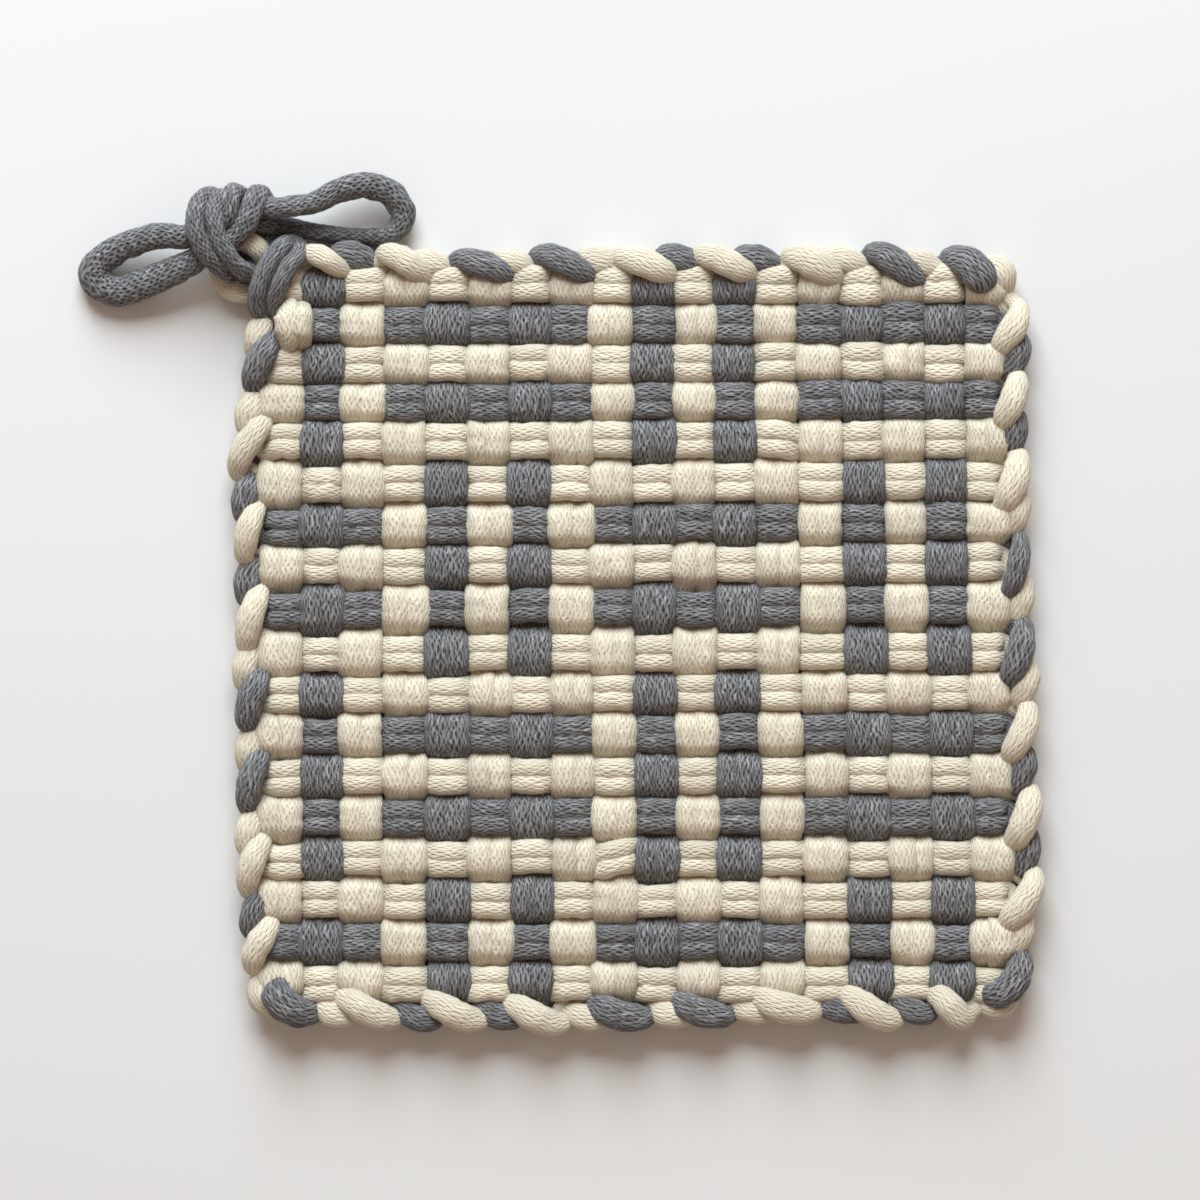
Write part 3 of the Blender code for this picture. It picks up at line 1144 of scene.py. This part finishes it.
@dataclass
class Tie:
    """A grey loop tied in a half knot through the end loop, which leaves a bow on each side.

    The rows are x, y, z, half width and half thickness, those of the knot from its own middle.
    The low strand of the right bow gets a painted shadow from left to right, below a height.
    """

    shift: Array
    diameter: float = 5.0
    step: float = 0.5
    sides: int = 20
    wales: int = 24
    stitch: float = 1.5
    painted_shadow: float = 0.42
    painted_shadow_left: float = -71.0
    painted_shadow_right: float = -47.0
    painted_shadow_top: float = 4.0

    LEFT_BOW = (
        (-85.7, 75.3, 7.2, 2.3, 2.2), (-90.6, 75.6, 6.4, 2.5, 2.2), (-97.2, 73.8, 4.6, 2.65, 2.3),
        (-101.9, 71.0, 3.2, 2.9, 2.4), (-103.1, 68.3, 2.8, 3.3, 2.4), (-100.9, 65.9, 2.8, 3.0, 2.4),
        (-97.4, 65.5, 3.2, 2.9, 2.4), (-90.8, 67.8, 5.0, 2.9, 2.3), (-84.4, 70.6, 6.4, 2.5, 2.2),
    )
    RIGHT_BOW = (
        (-67.0, 80.9, 8.0, 1.9, 2.2), (-61.2, 81.8, 7.4, 2.0, 2.2), (-56.2, 84.2, 7.0, 2.45, 2.2),
        (-51.4, 85.2, 6.0, 2.6, 2.3), (-47.0, 83.9, 4.8, 2.6, 2.3), (-44.5, 80.4, 3.6, 2.5, 2.3),
        (-45.8, 76.8, 2.9, 2.1, 2.4), (-50.0, 75.6, 2.7, 1.8, 2.4), (-56.2, 75.9, 2.8, 1.7, 2.4),
        (-61.6, 76.7, 2.9, 1.7, 2.3), (-67.2, 77.8, 3.0, 1.8, 2.2),
    )
    KNOT_MIDDLE = (-76.8, 75.8)
    FIRST_STRAND = (
        (-4.2, 1.0, 7.2, 2.1, 1.8), (-0.9, 3.2, 9.0, 2.2, 1.9), (-0.4, 6.2, 8.8, 2.2, 1.9),
        (0.4, 8.0, 6.0, 2.1, 1.9), (2.6, 6.6, 2.5, 1.9, 1.8), (4.8, 2.2, 2.2, 1.8, 1.8),
        (2.6, -1.8, 2.2, 1.8, 1.8), (0.3, -4.8, 2.6, 1.8, 1.8), (-1.0, -6.9, 5.5, 1.8, 1.7),
        (-2.3, -6.0, 8.6, 2.0, 1.7), (-4.8, -3.4, 10.4, 2.2, 1.7), (-6.5, 0.8, 11.0, 2.2, 1.7),
        (-6.2, 5.0, 9.6, 2.2, 1.8), (-4.4, 7.4, 6.4, 2.0, 1.8), (-1.0, 6.0, 5.4, 1.8, 1.7),
        (2.8, 5.0, 5.6, 1.8, 1.7), (6.2, 5.0, 7.2, 2.1, 2.0),
    )
    SECOND_STRAND = (
        (-3.6, -2.6, 7.0, 2.0, 1.8), (1.4, 0.0, 8.6, 2.2, 1.9), (3.6, 3.4, 9.4, 2.3, 1.9),
        (4.6, 6.6, 8.4, 2.3, 1.9), (5.2, 7.8, 5.4, 2.1, 1.9), (6.8, 5.4, 2.6, 1.9, 1.8),
        (7.4, 2.0, 2.2, 1.8, 1.8), (5.8, -2.0, 2.2, 1.8, 1.8), (4.0, -4.8, 2.6, 1.8, 1.8),
        (3.4, -7.0, 5.2, 1.8, 1.7), (2.4, -7.0, 8.4, 1.9, 1.7), (-0.2, -4.4, 10.6, 2.0, 1.7),
        (-2.4, -0.4, 11.3, 2.1, 1.7), (-3.0, 4.2, 10.2, 2.1, 1.8), (-1.9, 6.9, 7.4, 1.9, 1.7),
        (0.8, 3.6, 5.4, 1.8, 1.6), (4.2, 2.4, 5.0, 1.8, 1.7), (6.8, 2.2, 4.2, 2.0, 1.8),
    )

    def route(self) -> Array:
        """The whole ring: through the knot, round the right bow, back, and round the left bow."""
        first, second = (
            np.array(strand) + [*self.KNOT_MIDDLE, 0, 0, 0]
            for strand in (self.FIRST_STRAND, self.SECOND_STRAND)
        )
        rows = np.vstack([first, self.RIGHT_BOW, second[::-1], self.LEFT_BOW[::-1]])
        rows[:, :2] += self.shift
        return smooth_route(np.vstack([rows, rows[:1]]), rows[-1], rows[1], self.step)

    def make(self, material: bpy.types.Material) -> bpy.types.Object:
        """Args:
            material: Its finish.

        Returns:
            The new object.
        """
        route = self.route()
        ups = carried_up(route[:, :3], UPWARDS)
        ways = unit(np.gradient(route[:, :3], axis=0))
        twist = math.atan2(np.cross(ups[-1], ups[0]) @ ways[-1], ups[-1] @ ups[0])
        share = np.linspace(0, 1, len(route))
        ups = np.array([turned(u, w, twist * s) for u, w, s in zip(ups, ways, share)])
        x, z = route[:-1, 0] - self.shift[0], route[:-1, 2]
        # Painted shadow: the low strand of the right bow is darkened in its colour, from left to
        # right and below a height, where the upper strand and the knot would shade it.
        fade_in = np.clip((x - self.painted_shadow_left) / 3.0, 0, 1)
        fade_out = np.clip((self.painted_shadow_right - x) / 4.0, 0, 1)
        shades = 1 - self.painted_shadow * (fade_in * fade_out * (z < self.painted_shadow_top))
        ellipses = np.full(len(x), 2.0)
        sections = Sections(
            route[:-1, :3], ups[:-1], route[:-1, 3], route[:-1, 4], shades, ellipses
        )
        made = Tube("tie", sections, self.sides, self.wales, self.stitch, seed=300).make(material)
        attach(made, BODY)
        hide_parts("tie_bow_left", "tie_bow_right", "tie_knot")
        return made


# ---- the room


@dataclass
class Studio:
    """The pale floor, the soft light from above the top edge, and the camera.

    The camera is at a height above the floor, and sees a width of view_width at the cloth's top.
    The window's place and size and half the floor's side are in metres, and its power in watts.
    """

    aim: Array
    view_width: float = 227.5
    height: float = 900.0
    cloth_top: float = 6.0
    sensor: float = 36.0
    floor_half: float = 6.0
    floor_tones: tuple[float, float] = (0.71, 0.73)
    window_place: Numbers = (-0.11, 1.12, 0.78)
    window_size: Numbers = (0.82, 1.05)
    window_power: float = 33.4
    window_colour: Numbers = (0.86, 0.95, 1.0)
    room_colour: Colour = (1.0, 0.76, 0.60, 1.0)
    room_light: float = 0.385
    softness: float = 1.8

    def floor(self) -> None:
        """Lay the floor."""
        bench = Bench("pale_floor")
        place = bench.add("TexCoord").outputs["Object"]
        tone = bench.ramp(bench.noise(place, 3.0, 2.0).outputs[0], 0.3, 0.7)
        colour = bench.mix(tone, *((grey, grey, grey, 1.0) for grey in self.floor_tones))
        plain = bench.add(
            "BsdfPrincipled", {"Base Color": colour, "Roughness": 0.8, "Specular IOR Level": 0.2}
        )
        bench.add("OutputMaterial", {0: plain.outputs[0]})
        mesh = bpy.data.meshes.new("floor")
        size = self.floor_half
        corners = [(-size, -size, 0), (size, -size, 0), (size, size, 0), (-size, size, 0)]
        mesh.from_pydata(corners, [], [(0, 1, 2, 3)])
        mesh.materials.append(bench.material)
        placed("floor", mesh)

    def light(self) -> None:
        """Light the room: a broad window beyond the top edge, and the pale room round it."""
        data = bpy.data.lights.new("window", "AREA")
        data.shape, data.size, data.size_y = "RECTANGLE", *self.window_size
        data.energy, data.color = self.window_power, self.window_colour
        window = placed("window", data)
        window.location = self.window_place
        window.rotation_euler = (-window.location).to_track_quat("-Z", "Y").to_euler()
        world = bpy.data.worlds.new("room")
        world.use_nodes = True
        background = world.node_tree.nodes["Background"]
        background.inputs[0].default_value = self.room_colour
        background.inputs[1].default_value = self.room_light
        bpy.context.scene.world = world
        bpy.context.scene.view_settings.view_transform = "Standard"
        bpy.context.scene.cycles.filter_width = self.softness

    def camera(self) -> None:
        """Set the camera straight above, as the potholder lies on the floor."""
        data = bpy.data.cameras.new("camera")
        data.sensor_width = self.sensor
        data.lens = self.sensor * (self.height - self.cloth_top) / self.view_width
        data.clip_end = 50.0
        made = placed("camera", data)
        made.location = (self.aim[0] * MM, self.aim[1] * MM, self.height * MM)
        bpy.context.scene.camera = made


# ---- the whole


# The middle of the weave that the tie's and corner's rows go with, and of the view.
PART_WEAVE_MIDDLE = np.array([-1.09, -0.025])
VIEW_MIDDLE = np.array([-7.0, 6.6])


def clockwise_ends() -> list[tuple[Way, int, bool]]:
    """Every loop's two ends, clockwise from the top left corner: its way, number and far end."""
    up, down = range(LOOPS_A_SIDE), range(LOOPS_A_SIDE - 1, -1, -1)
    return (
        [(Way.WARP, i, False) for i in up] + [(Way.WEFT, i, True) for i in up]
        + [(Way.WARP, i, True) for i in down] + [(Way.WEFT, i, False) for i in down]
    )


def build_loops(weave: Weave, corner: Corner, finishes: dict[Yarn, bpy.types.Material]) -> None:
    """Weave all the loops and chain their ends.

    Args:
        weave: Where the rows and columns lie.
        corner: The bights at the top left corner.
        finishes: Each yarn's material.
    """
    kinds = (Way.WARP, WARP_YARNS, WARP_SHAPE), (Way.WEFT, WEFT_YARNS, WEFT_SHAPE)
    loops = {
        (way, i): LoomLoop(weave, way, i, yarn, shape)
        for way, yarns, shape in kinds for i, yarn in enumerate(yarns)
    }
    edge = Edge(weave)
    ends = clockwise_ends()
    plait = Plait(edge, [edge.nearest(loops[way, i].neck(far)) for way, i, far in ends])
    bights = {end: plait.bight(number) for number, end in enumerate(ends)}
    bights[Way.WEFT, 0, False] = corner.end_loop()
    bights[Way.WEFT, 1, False] = corner.corner_bight()
    maker = LoopMaker()
    for (way, i), loop in loops.items():
        first = way is Way.WEFT
        tube = maker.close(loop, bights[way, i, first], bights[way, i, not first])
        made = tube.make(finishes[loop.yarn])
        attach(made, BODY)
        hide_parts(loop.node, "chained_edge")
        if way is Way.WEFT and i == 0:
            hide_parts("end_loop")
        around = run_along(tube.sections.centres)[-1]
        cloth = sum(face.area for face in made.data.polygons) / MM**2
        log.info("%s: %.0f mm round, %.1f mm girth", loop.name, around, cloth / around)


def main() -> None:
    """Build the potholder, light it and set the camera."""
    logging.basicConfig(level=logging.INFO, format="%(message)s")
    finishes = {Yarn.CREAM: CREAM_COTTON.make(), Yarn.GREY: GREY_COTTON.make()}
    weave = Weave()
    shift = weave.middle - PART_WEAVE_MIDDLE
    build_loops(weave, Corner(shift), finishes)
    Tie(shift).make(GREY_TUBE.make())
    studio = Studio(VIEW_MIDDLE + shift)
    studio.floor()
    studio.light()
    studio.camera()


if __name__ == "__main__":
    main()
